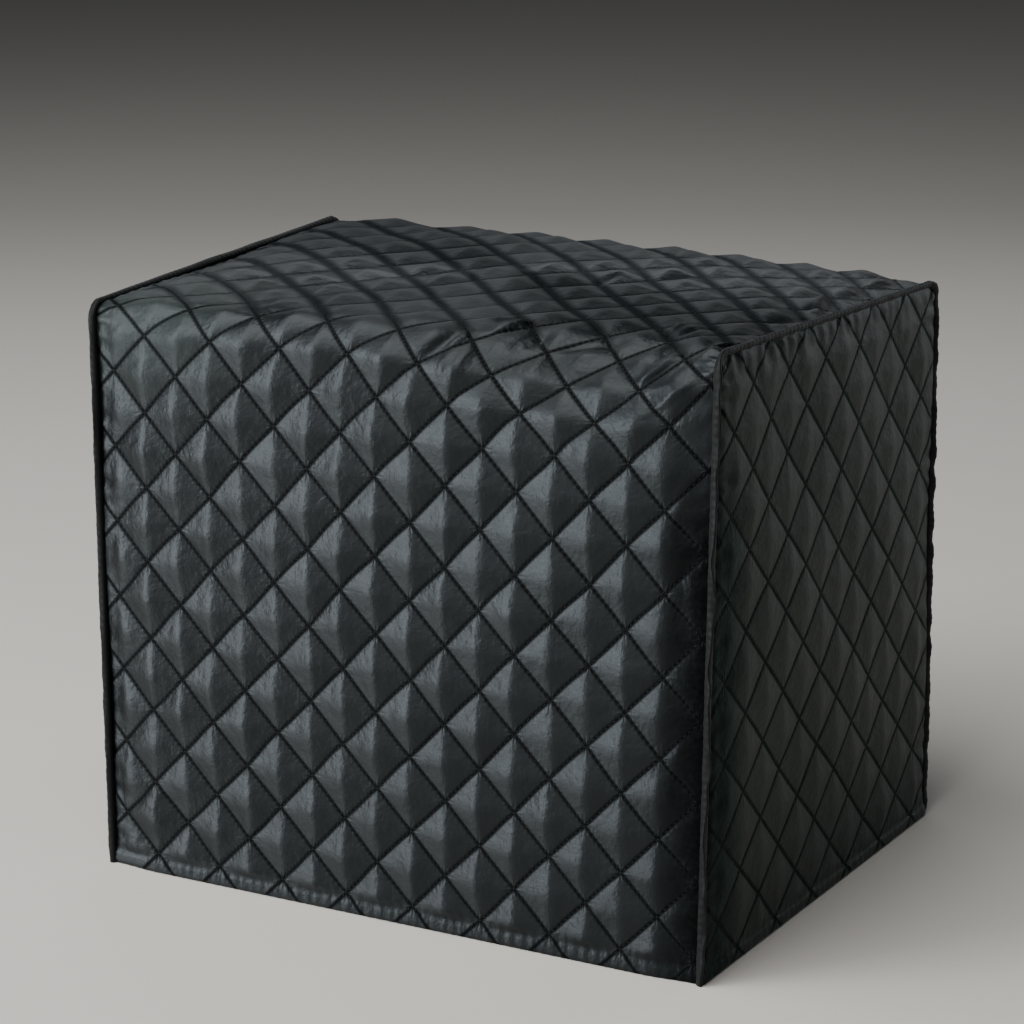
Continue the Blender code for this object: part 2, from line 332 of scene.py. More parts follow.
class SewingSettings(bpy.types.PropertyGroup):
    """Sizes of the stitches and the bindings."""

    stitch: length_setting("Stitch length", "Length of thread that shows in each stitch", 0.0023)
    pitch: length_setting("Stitch pitch", "Distance from one stitch to the next", 0.0033)
    thread: length_setting("Thread width", "Width of the sewing thread", 0.00034)
    binding_height: length_setting(
        "Binding height", "How far the folded binding stands out of the seam", 0.0022
    )
    binding_thickness: length_setting(
        "Binding thickness", "Thickness of the folded binding at its root", 0.0038
    )
    binding_step: length_setting(
        "Binding step", "Distance between the rings of points along a binding", 0.0016
    )


class ColourSettings(bpy.types.PropertyGroup):
    """Colours of the cloth, thread and floor."""

    satin: colour_setting("Satin", "Colour of the quilted cloth", (0.0026, 0.0036, 0.0045))
    # Lighter colour of the painted sheen on the front left corner and the binding's edge, also
    # used for the weave's slubs and the thread's twist
    sheen_and_slub: colour_setting(
        "Rubbed satin",
        "Colour of the cloth where it is rubbed and catches more light",
        (0.0260, 0.0325, 0.0330),
    )
    # Painted light: the ends' satin is given a lighter colour than the strip's, for the light that
    # the ends catch
    lit_end_satin: colour_setting(
        "Satin of the ends",
        "Colour of the quilted cloth of the two ends",
        (0.0085, 0.0115, 0.0105),
    )
    binding: colour_setting("Binding", "Colour of the folded binding", (0.0030, 0.0036, 0.0040))
    thread: colour_setting("Thread", "Colour of the sewing thread", (0.0050, 0.0056, 0.0062))
    floor: colour_setting("Floor", "Colour of the plain floor", (0.56, 0.54, 0.51))


class StudioSettings(bpy.types.PropertyGroup):
    """Strengths of the studio's lights."""

    key: power_setting("Key", "Power of the soft light at the left", 92.0)
    top: power_setting("Top", "Power of the wide light overhead", 64.0)
    fill: power_setting("Fill", "Power of the light behind at the right", 7.0)
    back: power_setting("Back", "Power of the wide light behind", 3.2)
    sky: FloatProperty(
        name="Sky", description="Strength of the even light all round", default=0.05
    )


class Cloth:
    """The cover's shape: from places on its flat pieces to points in space, as arrays."""

    def __init__(self, settings):
        self.settings = settings
        self.random = np.random.default_rng(settings.seed)
        # Sine waves in all directions, for soft unevenness
        self.waves = self.random.uniform(0, math.tau, (14, 2))
        self.dice = self.random.random((97, 89, 6))

    def hang(self, points):
        """Take points of the plain box to where the slumped cover holds them."""
        share = points / (WIDTH, DEPTH, HEIGHT)
        moved = points - (MIDDLE_X, MIDDLE_Y, 0.0)
        for right, back, top, *move_mm in CORNER_MOVES_MM:
            weight = np.ones(points.shape[:-1])
            for axis, side in enumerate((right, back, top)):
                part = share[..., axis]
                weight = weight * (part if side else 1.0 - part)
            moved = moved + weight[..., None] * np.array(move_mm) * MM
        return moved

    def unevenness(self, across, up, length, first=0):
        """Soft noise from -1 to 1 whose swells are about length long."""
        total = 0.0
        count = 7
        for index in range(first, first + count):
            angle, phase = self.waves[index]
            pace = math.tau / length * (0.7 + 0.6 * (index - first) / count)
            total = total + np.sin(
                pace * (across * math.cos(angle) + up * math.sin(angle)) + phase
            )
        return total / count * 1.7

    def chance(self, first, second, column):
        """A fixed random number for each whole pair of numbers."""
        rows, columns, _ = self.dice.shape
        return self.dice[first.astype(int) % rows, second.astype(int) % columns, column]

    def quilting(self, a, b, rise):
        """Height of the quilting over its stitch lines. a and b count half diamonds."""
        p, q = (a + b) / 2, (a - b) / 2
        cell_p, cell_q = np.floor(p + 1e-6), np.floor(q + 1e-6)
        lean_p = 0.88 + PUFF_CHANCE * self.chance(cell_p, cell_q, 0)
        lean_q = 0.88 + PUFF_CHANCE * self.chance(cell_p, cell_q, 1)
        full = 0.86 + PUFF_CHANCE * self.chance(cell_p, cell_q, 2)
        in_p = np.clip(p - cell_p, 0, 1) ** lean_p - 0.5
        in_q = np.clip(q - cell_q, 0, 1) ** lean_q - 0.5
        beside, above = in_p + in_q, in_p - in_q
        low = np.clip(1 - abs(beside) - abs(above), 0.0, 1.0)
        # The upright crest is round and lens-shaped, and the level one is fainter
        crest = np.hypot(beside, CREST_ROUND) - abs(beside)
        level = np.hypot(above, LEVEL_ROUND) - abs(above)
        soft = np.maximum(low - (crest + level) * smooth(low, 0.0, 0.45), 0.0)
        height = rise * full * (soft / (1 - CREST_ROUND - LEVEL_ROUND)) ** PUFF_POWER
        return height + self.spokes(p, q, low)

    def spokes(self, p, q, low):
        """Wrinkles that spread from each stitch crossing."""
        near_p, near_q = np.round(p), np.round(q)
        dp, dq = p - near_p, q - near_q
        away = np.hypot(dp, dq) * 2
        angle = np.arctan2(dq, dp)
        phase = math.tau * self.chance(near_p, near_q, 3)
        count = 6 + np.floor(4 * self.chance(near_p, near_q, 4))
        reach = 0.45 + 0.35 * self.chance(near_p, near_q, 5)
        fade = bell(away, reach) * (1 - bell(away, CROSSING_HOLD))
        return self.settings.wrinkle * fade * np.cos(count * angle + phase) * np.sqrt(low)

    def creases(self, across, up, table):
        """Height of the listed creases at each place."""
        total = np.zeros(np.broadcast(across, up).shape)
        for at_across, at_up, turn, length, width, height in table:
            dx, dy = across - at_across * MM, up - at_up * MM
            cos, sin = math.cos(math.radians(turn)), math.sin(math.radians(turn))
            along, beside = dx * cos + dy * sin, dy * cos - dx * sin
            bend = 0.002 * np.sin(along / (0.3 * length * MM))
            fade = np.exp(-((2 * along / (length * MM)) ** 4))
            total += height * MM * fade * bell(beside + bend, width * MM)
        return total

    def sway(self, along, upward, height):
        """The slight unevenness of hanging cloth, which dies out at the base."""
        settle = np.clip(height / SWAY_SETTLE_HEIGHT, 0.0, 1.0)
        wave = np.sin(math.tau * (along + SWAY_START) / SWAY_LENGTH)
        return SWAY * settle * wave * np.cos(math.tau * upward / SWAY_LENGTH_UPWARD)

    def seam_lift(self, gap, along, strength, first):
        """The pull and the small gathers of the cloth beside a seam that is gap away."""
        uneven = 2.4 * self.unevenness(along, gap, 0.060, first)
        ripple = np.sin(math.tau * along / GATHER_LENGTH + uneven)
        swell = 0.6 + 0.4 * self.unevenness(along, gap, 0.110, first)
        gathers = self.settings.gather * strength * swell * ripple
        gathers = gathers * bell(gap, GATHER_REACH) * (1 - bell(gap, GATHER_START))
        return gathers - SEAM_PULL * bell(gap, SEAM_PULL_REACH)

    def hem_lift(self, height, along):
        """(share of quilting kept, lift) of the turned-up hem and the stitches over it."""
        kept = smooth(height, *HEM_QUILTING)
        band = 1 - smooth(height, *HEM_EDGE)
        uneven = 2.6 * self.unevenness(along, 0, 0.045)
        ripple = np.sin(math.tau * along / HEM_PUCKER_LENGTH + uneven)
        roll = np.sqrt(np.clip(height / HEM_ROLL, 0, 1))
        sewn = bell(height - HEM_STITCHING, HEM_STITCH_WIDTH)
        lift = band * ((HEM_OUTSIDE + HEM_PUCKER * ripple) * roll - HEM_STITCH_DEPTH * sewn)
        above = bell(height - HEM_PUCKER_PLACE, HEM_PUCKER_REACH) * (1 - band)
        return kept, lift + HEM_PUCKER_ABOVE * ripple * above

    def strip_rise(self, across, path):
        """The height of full puffs at each place on the strip."""
        on_top = smooth(path, HEIGHT - QUILT_STEP, HEIGHT + QUILT_STEP)
        on_top = on_top - smooth(path, HEIGHT + DEPTH - QUILT_STEP, HEIGHT + DEPTH + QUILT_STEP)
        settings = self.settings
        rise = settings.rise + (settings.rise_top - settings.rise) * on_top
        gap = np.minimum(across, WIDTH - across) - SEAM_INSET
        return rise * smooth(gap, 0.0, PUFF_SEAM_FADE)

    def end_rise(self, along, height):
        """The height of full puffs at each place on an end panel."""
        gap = np.minimum(np.minimum(along, DEPTH - along), HEIGHT - height) - SEAM_INSET
        return self.settings.rise_end * smooth(gap, 0.0, PUFF_SEAM_FADE)

    def fold_radii(self, across):
        """Radii of the front and back folds of the strip at each place across it."""
        near = np.clip(np.minimum(across, WIDTH - across) / FOLD_SEAM_REACH, 0.0, 1.0)
        softness = np.sin(math.pi / 2 * near)
        slump = FOLD_SLUMP * bell(across - FOLD_SLUMP_PLACE, FOLD_SLUMP_SPREAD)
        front = FOLD_AT_SEAM + (FOLD_FRONT_MIDDLE - FOLD_AT_SEAM + slump) * softness
        return front, FOLD_AT_SEAM + (FOLD_BACK_MIDDLE - FOLD_AT_SEAM) * softness

    def skew(self, across, path):
        """How far to the right the cloth of the strip has drifted at each place."""
        from_left = np.maximum(across - SEAM_INSET, 0.0)
        from_right = np.maximum(WIDTH - SEAM_INSET - across, 0.0)
        free = (1 - np.exp(-from_left / SKEW_LEFT_HOLD)) * (
            1 - np.exp(-from_right / SKEW_RIGHT_HOLD)
        )
        onward = np.maximum(np.minimum(path, HEIGHT + DEPTH) - SKEW_END, 0.0)
        return free * (SKEW * smooth(path, SKEW_START, SKEW_END) + SKEW_ONWARD * onward)

    def strip_point(self, across, path, lift):
        """Points of the strip, with lift measured outward from its stitch lines."""
        across = across + self.skew(across, path)
        front, back = self.fold_radii(across)
        height = np.minimum(np.minimum(path, HEIGHT), RUN - path)
        face = np.where(
            path < HEIGHT,
            path / HEIGHT,
            np.where(path < HEIGHT + DEPTH, (path - HEIGHT) / DEPTH, (RUN - path) / HEIGHT),
        )
        on_top = (path >= HEIGHT) & (path < HEIGHT + DEPTH)
        crown = TOP_CROWN * arch(np.clip(face, 0.0, 1.0) ** TOP_CROWN_LEAN)
        bulge = np.where(on_top, crown, FRONT_BULGE * arch(face)) * arch(across / WIDTH)
        gap = np.minimum(across, WIDTH - across) - SEAM_INSET
        dip = SEAM_DIP * (1 - smooth(gap, 0.0, SEAM_DIP_REACH))
        lift = lift + bulge - dip + self.sway(across, path, height)
        y = np.where(path < HEIGHT, -lift, np.where(on_top, path - HEIGHT, DEPTH + lift))
        z = np.where(path < HEIGHT, path, np.where(on_top, HEIGHT + lift, RUN - path))
        for corner, radius, turn, centre_y in (
            (HEIGHT, front, 0.0, front),
            (HEIGHT + DEPTH, back, math.pi / 2, DEPTH - back),
        ):
            off = path - corner
            angle = turn + math.pi / 4 * (1 + off / radius)
            inside = abs(off) < radius
            y = np.where(inside, centre_y - (radius + lift) * np.cos(angle), y)
            z = np.where(inside, HEIGHT - radius + (radius + lift) * np.sin(angle), z)
        return self.hang(np.stack([across + 0 * y, y, z], -1))

    def end_point(self, along, height, lift, right):
        """Points of an end panel: along goes from front to back, lift is outward."""
        radius = FOLD_AT_SEAM - SEAM_INSET + SEAM_TUCK
        low, high = SEAM_INSET - SEAM_TUCK, DEPTH - SEAM_INSET + SEAM_TUCK
        centre_z = HEIGHT - SEAM_INSET + SEAM_TUCK - radius
        y, z = along + 0 * height, height + 0 * along
        for centre_y, side in ((low + radius, -1), (high - radius, 1)):
            dy, dz = (along - centre_y) * side, height - centre_z
            inside = (dy > 0) & (dz > 0)
            reach = np.where(inside, np.maximum(dy, dz) / np.maximum(np.hypot(dy, dz), 1e-9), 1)
            y = np.where(inside, centre_y + side * dy * reach, y)
            z = np.where(inside, centre_z + dz * reach, z)
        shift = SWAY_END_SHIFT if right else 0.0
        out = lift + END_BULGE * arch(along / DEPTH) * arch(height / HEIGHT)
        out = out + self.sway(along + shift, height, height)
        x = WIDTH + out if right else -out
        return self.hang(np.stack([x, y, z], -1))


def smooth(value, low, high):
    """A soft step from 0 at low to 1 at high."""
    share = np.clip((value - low) / (high - low), 0.0, 1.0)
    return share * share * (3 - 2 * share)


def bell(value, width):
    """A soft hump: 1 where value is nothing, dying out over about its width."""
    return np.exp(-((value / width) ** 2))


def arch(share):
    """A smooth hump: nothing at 0 and 1, full in the middle."""
    return np.sin(math.pi * np.clip(share, 0.0, 1.0))


class Panel:
    """One quilted piece of cloth, with its size, its place and its own unevenness."""

    def __init__(self, cloth, size, crossing, creases, hems, place, rise):
        self.cloth, self.crossing, self.creases, self.place = cloth, crossing, creases, place
        self.rise = rise
        self.low, self.high, self.hems = (size[0], size[1]), (size[2], size[3]), hems

    def to_steps(self, across, up):
        """A place on the cloth, counted in half diamonds."""
        return (across - self.crossing[0]) / QUILT_STEP, (up - self.crossing[1]) / QUILT_STEP

    def drifted(self, across, up):
        """Where the quilting's own lines really lie, which isn't quite where they are ruled."""
        far = self.cloth.settings.drift
        room = np.minimum(across - self.low[0], self.high[0] - across)
        room = np.minimum(room, np.minimum(up - self.low[1], self.high[1] - up))
        free = smooth(room, 0.0, DRIFT_REACH)
        side = self.cloth.unevenness(across, up, DRIFT_LENGTH, 0)
        rise = self.cloth.unevenness(across, up, DRIFT_LENGTH, 7)
        fine = self.cloth.unevenness(up, across, DRIFT_FINE_LENGTH, 3)
        return across + far * free * (side + 0.4 * fine), up + far * free * (rise - 0.4 * fine)

    def lift(self, across, up):
        """Height of the outer face over the stitch lines, at places on the cloth."""
        cloth = self.cloth
        quilting = cloth.quilting(*self.to_steps(across, up), self.rise(across, up))
        sides = np.minimum(across - self.low[0], self.high[0] - across)
        lift = cloth.seam_lift(sides, up, 1.0, 2) + cloth.creases(across, up, self.creases)
        if self.hems == 1:
            lift = lift + cloth.seam_lift(self.high[1] - up, across, 1.5, 5)
            hem_kept, hem = cloth.hem_lift(up, across)
        else:
            hem_kept, hem = cloth.hem_lift(np.minimum(up, RUN - up), across)
        return (lift + quilting) * hem_kept + hem

    def outer(self, across, up, extra=0.0):
        """Points of the outer face, or extra above it."""
        return self.place(*self.drifted(across, up), self.lift(across, up) + extra)

    def inner(self, across, up):
        """Points of the plain inner face."""
        height = np.minimum(up, RUN - up) if self.hems == 2 else up
        hem = HEM_INSIDE * (1 - smooth(height, HEM_HEIGHT, HEM_HEIGHT + 0.001))
        return self.place(*self.drifted(across, up), -SHEET - hem)

    def lines(self, axis, fineness, extra=()):
        """Rows of points along one axis: the ends, the extra ones, and the quilting's own."""
        start, end, crossing = self.low[axis], self.high[axis], self.crossing[axis]
        step = QUILT_STEP / fineness
        kept = [start, end, *extra]
        first, last = math.ceil((start - crossing) / step), math.floor((end - crossing) / step)
        ruled = [crossing + step * index for index in range(first, last + 1)]
        near = ROW_GAP_SHARE * QUILT_STEP / self.cloth.settings.fineness
        return sorted(kept + [row for row in ruled if min(abs(row - k) for k in kept) > near])


def sheet_mesh(name, panel):
    """A closed sheet: a fine quilted face, a coarser inner face and a rim between them."""
    settings = panel.cloth.settings
    hem_rows = [*HEM_ROLL_ROWS, *HEM_EDGE]
    top = panel.high[1]
    extra = [*hem_rows, *([top - row for row in hem_rows] if panel.hems == 2 else [])]
    across = np.array(panel.lines(0, settings.fineness))
    up = np.array(panel.lines(1, settings.fineness, extra))
    in_across = np.array(panel.lines(0, settings.inner_fineness))
    in_up = np.array(panel.lines(1, settings.inner_fineness, (HEM_HEIGHT,)))
    # The inner rows that the outer face has too, so that the rims meet
    in_across = across[[np.argmin(abs(across - value)) for value in in_across]]
    in_up = np.unique(up[[np.argmin(abs(up - value)) for value in in_up]])
    outer = panel.outer(across[:, None], up[None, :])
    inner = panel.inner(in_across[:, None], in_up[None, :])
    wide, tall = len(across), len(up)
    index = np.arange(wide * tall).reshape(wide, tall)
    corners = np.stack([index[:-1, :-1], index[1:, :-1], index[1:, 1:], index[:-1, 1:]], -1)
    a, b = panel.to_steps((across[:-1] + across[1:]) / 2, (up[:-1] + up[1:]) / 2)
    # A cell is split along the stitch lines' own direction in its part of the diamond
    p, q = (a[:, None] + b[None, :]) / 2, (a[:, None] - b[None, :]) / 2
    rising = abs(q - np.round(q)) < abs(p - np.round(p))
    cells = corners.reshape(-1, 4)
    rising = rising.ravel()
    first = np.where(rising[:, None], cells[:, [0, 1, 2]], cells[:, [0, 1, 3]])
    second = np.where(rising[:, None], cells[:, [0, 2, 3]], cells[:, [1, 2, 3]])
    faces = np.stack([first, second], 1).reshape(-1, 3).tolist()
    base = wide * tall
    inside = base + np.arange(len(in_across) * len(in_up)).reshape(len(in_across), len(in_up))
    inner_cells = np.stack(
        [inside[:-1, :-1], inside[:-1, 1:], inside[1:, 1:], inside[1:, :-1]], -1
    ).reshape(-1, 4)
    faces.extend(inner_cells.tolist())

    def rim(outer_row, outer_at, inner_row, inner_at, flip):
        for low, high, one, two in zip(inner_at, inner_at[1:], inner_row, inner_row[1:]):
            between = outer_row[(outer_at >= low - 1e-9) & (outer_at <= high + 1e-9)].tolist()
            face = [*between, int(two), int(one)]
            faces.append(face if flip else face[::-1])

    rim(index[:, 0], across, inside[:, 0], in_across, False)
    rim(index[:, -1], across, inside[:, -1], in_across, True)
    rim(index[0, :], up, inside[0, :], in_up, True)
    rim(index[-1, :], up, inside[-1, :], in_up, False)
    points = np.concatenate([outer.reshape(-1, 3), inner.reshape(-1, 3)])
    grid = np.stack(np.meshgrid(*panel.to_steps(across, up), indexing="ij"), -1).reshape(-1, 2)
    in_grid = np.meshgrid(*panel.to_steps(in_across, in_up), indexing="ij")
    shares = np.concatenate([grid, np.stack(in_grid, -1).reshape(-1, 2)])
    mesh = cloth_mesh(name, points, faces, shares)
    slots = np.ones(len(mesh.polygons), dtype=np.int32)
    slots[: 2 * len(first)] = 0
    mesh.polygons.foreach_set("material_index", slots)
    return mesh


def cloth_mesh(name, points, faces, shares):
    """A closed smooth mesh that faces outward, with each point's place on the flat cloth."""
    mesh = bpy.data.meshes.new(name)
    mesh.from_pydata(points.tolist(), [], faces)
    corner_points = np.empty(len(mesh.loops), dtype=np.int32)
    mesh.loops.foreach_get("vertex_index", corner_points)
    layer = mesh.uv_layers.new(name="cloth")
    layer.uv.foreach_set("vector", shares[corner_points].astype(np.float32).ravel())
    work = bmesh.new()
    work.from_mesh(mesh)
    bmesh.ops.recalc_face_normals(work, faces=work.faces)
    work.to_mesh(mesh)
    work.free()
    mesh.shade_smooth()
    return mesh


def add_piece(name, mesh, slot, materials, *replaced):
    """Add a piece to the cover: on its body, over its node, with its finish."""
    piece = bpy.data.objects.new(name, mesh)
    bpy.context.scene.collection.objects.link(piece)
    for material in materials:
        mesh.materials.append(material)
    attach(piece, "root")
    if replaced:
        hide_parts(*replaced)
    return piece


def strip_panel(cloth):
    """The strip that makes the front, the top and the back."""
    inset = SEAM_INSET - SEAM_TUCK
    size = (inset, 0.0, WIDTH - inset, RUN)
    shape = (cloth.strip_point, cloth.strip_rise)
    return Panel(cloth, size, STRIP_CROSSING, STRIP_CREASES, 2, *shape)


def end_panel(cloth, right):
    """The panel of one end."""
    inset = SEAM_INSET - SEAM_TUCK

    def place(along, height, lift):
        return cloth.end_point(along, height, lift, right)

    size = (inset, 0.0, DEPTH - inset, HEIGHT - inset)
    return Panel(cloth, size, END_CROSSING, END_CREASES, 1, place, cloth.end_rise)


def stitch_places(panel, sewing):
    """Places on the cloth of every quilting stitch, and of the row over each hem."""
    wide = panel.high[0] - panel.low[0]
    tall = panel.high[1] - panel.low[1]
    corner_a, corner_b = panel.to_steps(panel.low[0], panel.low[1])
    count_a, count_b = wide / QUILT_STEP, tall / QUILT_STEP
    spots = []
    pitch = sewing.pitch / DIAMOND_SIDE
    base = HEM_HEIGHT + STITCH_HEM_GAP
    ceiling = panel.high[1] - (base if panel.hems == 2 else STITCH_SEAM_GAP)
    for slope in (1, -1):
        ends = (corner_a, corner_a + count_a)
        feet = [x - slope * y for x in ends for y in (corner_b, corner_b + count_b)]
        first = math.ceil(min(feet) / 2)
        last = math.floor(max(feet) / 2)
        for line in range(first, last + 1):
            run = np.arange(corner_b, corner_b + count_b, pitch)
            a = 2 * line + slope * run
            across = panel.crossing[0] + a * QUILT_STEP
            up = panel.crossing[1] + run * QUILT_STEP
            inside = (across > panel.low[0] + STITCH_SEAM_GAP) & (up > base)
            inside &= (across < panel.high[0] - STITCH_SEAM_GAP) & (up < ceiling)
            spots.append(np.stack([across, up, slope + 0 * up], -1)[inside])
    low, high = panel.low[0] + HEM_STITCH_END_GAP, panel.high[0] - HEM_STITCH_END_GAP
    across = np.arange(low, high, sewing.pitch)
    rows = (HEM_STITCHING, panel.high[1] - HEM_STITCHING)[: panel.hems]
    for up in rows:
        spots.append(np.stack([across, up + 0 * across, 0 * across], -1))
    return np.concatenate(spots)


def stitch_mesh(name, panel, sewing, spots):
    """One mesh of small pointed beads of thread, lying in the stitch lines."""
    half = sewing.stitch / 2
    level = spots[:, 2] == 0
    slope = spots[:, 2]
    step_across = np.where(level, half, half / math.sqrt(2)) * np.where(level, 1, slope)
    step_up = np.where(level, 0.0, half / math.sqrt(2))
    sunk = sewing.thread * 0.30
    ends = []
    for side in (-1, 1):
        across, up = spots[:, 0] + side * step_across, spots[:, 1] + side * step_up
        ends.append(panel.outer(across, up, -sunk))
    middle = panel.outer(spots[:, 0], spots[:, 1], sewing.thread * 0.35)
    out = panel.outer(spots[:, 0], spots[:, 1], 0.002) - panel.outer(spots[:, 0], spots[:, 1])
    along = ends[1] - ends[0]
    side = np.cross(out, along)
    side /= np.linalg.norm(side, axis=1)[:, None]
    out /= np.linalg.norm(out, axis=1)[:, None]
    rings = []
    for share, width in ((0.22, 0.85), (0.50, 1.0), (0.78, 0.85)):
        bow = 4 * share * (1 - share)
        centre = ends[0] * (1 - share) + ends[1] * share
        centre = centre + (middle - (ends[0] + ends[1]) / 2) * bow
        for turn in range(4):
            angle = math.tau * turn / 4
            reach = sewing.thread / 2 * width
            rings.append(centre + side * reach * math.cos(angle) + out * reach * math.sin(angle))
    points = np.stack([ends[0], *rings, ends[1]], 1)
    triangles = []
    for turn in range(4):
        after = (turn + 1) % 4
        triangles.append((0, 1 + after, 1 + turn))
        triangles.append((13, 9 + turn, 9 + after))
        for ring in (1, 5):
            triangles.append((ring + turn, ring + after, ring + 4 + after))
            triangles.append((ring + turn, ring + 4 + after, ring + 4 + turn))
    faces = np.array(triangles)[None] + np.arange(len(spots))[:, None, None] * 14
    mesh = bpy.data.meshes.new(name)
    mesh.from_pydata(points.reshape(-1, 3).tolist(), [], faces.reshape(-1, 3).tolist())
    mesh.shade_smooth()
    return mesh


def binding_route(right, step):
    """Stations along a seam: (points of the plain box, turn of the outward side)."""
    sink = BINDING_SINK
    radius = FOLD_AT_SEAM - sink
    low, high, top = sink, DEPTH - sink, HEIGHT - sink
    rise, level, bend = top - radius, high - low - 2 * radius, radius * math.pi / 2
    total = 2 * rise + level + 2 * bend
    along = np.linspace(0.0, total, round(total / step))
    marks = np.cumsum([0.0, rise, bend, level, bend])
    turn = np.clip((along - marks[1]) / bend, 0, 1) + np.clip((along - marks[3]) / bend, 0, 1)
    turn = turn * math.pi / 2
    y = low + radius * (1 - np.cos(np.minimum(turn, math.pi / 2)))
    y = y + np.clip(along - marks[2], 0, level)
    y = y - radius * np.cos(np.maximum(turn, math.pi / 2))
    z = np.clip(along, 0, rise) + radius * np.sin(turn)
    z = z - np.clip(along - marks[4], 0, rise)
    x = np.full_like(y, WIDTH - sink if right else sink)
    return along, np.stack([x, y, z], -1), turn


def binding_mesh(name, cloth, sewing, right):
    """A folded binding that stands out of the seam, wavering and puckered by its sewing."""
    along, centres, turn = binding_route(right, sewing.binding_step)
    zero = 0 * along
    outward = np.stack([zero, -np.cos(turn), np.sin(turn)], -1)
    sideways = np.stack([zero + (1 if right else -1), zero, zero], -1)
    tip_way = (outward + sideways) / math.sqrt(2)
    flat_way = (sideways - outward) / math.sqrt(2)
    shift = BINDING_RIGHT_SHIFT if right else 0.0
    waver = cloth.unevenness(along + shift, zero, 0.055, 1)
    twitch = cloth.unevenness(along + shift, zero, 0.017, 6)
    uneven = 2.0 * cloth.unevenness(along, zero, 0.03, 4)
    pucker = np.sin(math.tau * along / BINDING_PUCKER_LENGTH + uneven)
    end_rise = 1 - 0.35 * bell(np.minimum(along, along[-1] - along), 0.006)
    height = sewing.binding_height * (1 + 0.22 * twitch + 0.07 * pucker) * end_rise
    half = sewing.binding_thickness / 2 * (1 + 0.10 * twitch + 0.06 * pucker)
    bent = BINDING_WAVER * waver + BINDING_TWITCH * twitch
    if right:
        for place, sideways_mm, spread in BINDING_KINKS:
            bent = bent + sideways_mm * MM * bell(along - place * MM, spread * MM)
    # On the top of the right end the binding lies down beside the gathered cloth
    on_top = smooth(turn, 0.6, 1.4) - smooth(turn, 1.7, 2.5)
    height = height * (1 - BINDING_LAID_RIGHT * on_top if right else BINDING_LEFT_SHARE)
    rings = []
    for side in range(BINDING_SIDES):
        angle = math.tau * side / BINDING_SIDES
        up, over = math.cos(angle), math.sin(angle)
        # The root is round and stays in the seam; the upper part narrows to a folded edge
        reach = np.where(up > 0, (height + BINDING_TIP_SINK) * up, BINDING_ROOT * up)
        narrow = 1 - BINDING_NARROWING * max(up, 0.0) ** 1.5
        offset = half * over * narrow + bent * max(up, 0.0) ** 1.3
        # A shallow groove beside the folded edge, where it is sewn through
        groove = BINDING_GROOVE * bell(abs(over) - 0.92, 0.12) * (up > -0.1)
        offset = offset - math.copysign(groove, over)
        rings.append(centres + tip_way * reach[:, None] + flat_way * offset[:, None])
    points = cloth.hang(np.stack(rings, 1))
    points[..., 2] = np.maximum(points[..., 2], BINDING_FLOOR_GAP)
    count = len(along)
    index = np.arange(count * BINDING_SIDES).reshape(count, BINDING_SIDES)
    after = np.roll(index, -1, axis=1)
    quads = np.stack([index[:-1], after[:-1], after[1:], index[1:]], -1).reshape(-1, 4)
    faces = [*quads.tolist(), index[0].tolist(), index[-1][::-1].tolist()]
    round_it = np.tile(np.arange(BINDING_SIDES) / BINDING_SIDES, count)
    shares = np.stack([round_it, np.repeat(along / QUILT_STEP, BINDING_SIDES)], -1)
    return cloth_mesh(name, points.reshape(-1, 3), faces, shares)


class Value:
    """A number in a material, whose arithmetic adds the nodes that work it out."""

    def __init__(self, finish, socket):
        self.finish = finish
        self.socket = socket

    def maths(self, operation, *others):
        inputs = dict(enumerate((self, *others)))
        return self.finish.node("ShaderNodeMath", {"operation": operation}, inputs)

    def __add__(self, other):
        return self.maths("ADD", other)

    def __sub__(self, other):
        return self.maths("SUBTRACT", other)

    def __mul__(self, other):
        return self.maths("MULTIPLY", other)

    def __rsub__(self, other):
        return self.finish.node("ShaderNodeMath", {"operation": "SUBTRACT"}, {0: other, 1: self})

    __radd__ = __add__
    __rmul__ = __mul__

    def step(self, low, high):
        """A soft step from 0 at low to 1 at high."""
        settings = {"interpolation_type": "SMOOTHSTEP"}
        inputs = {"Value": self, "From Min": low, "From Max": high}
        return self.finish.node("ShaderNodeMapRange", settings, inputs)


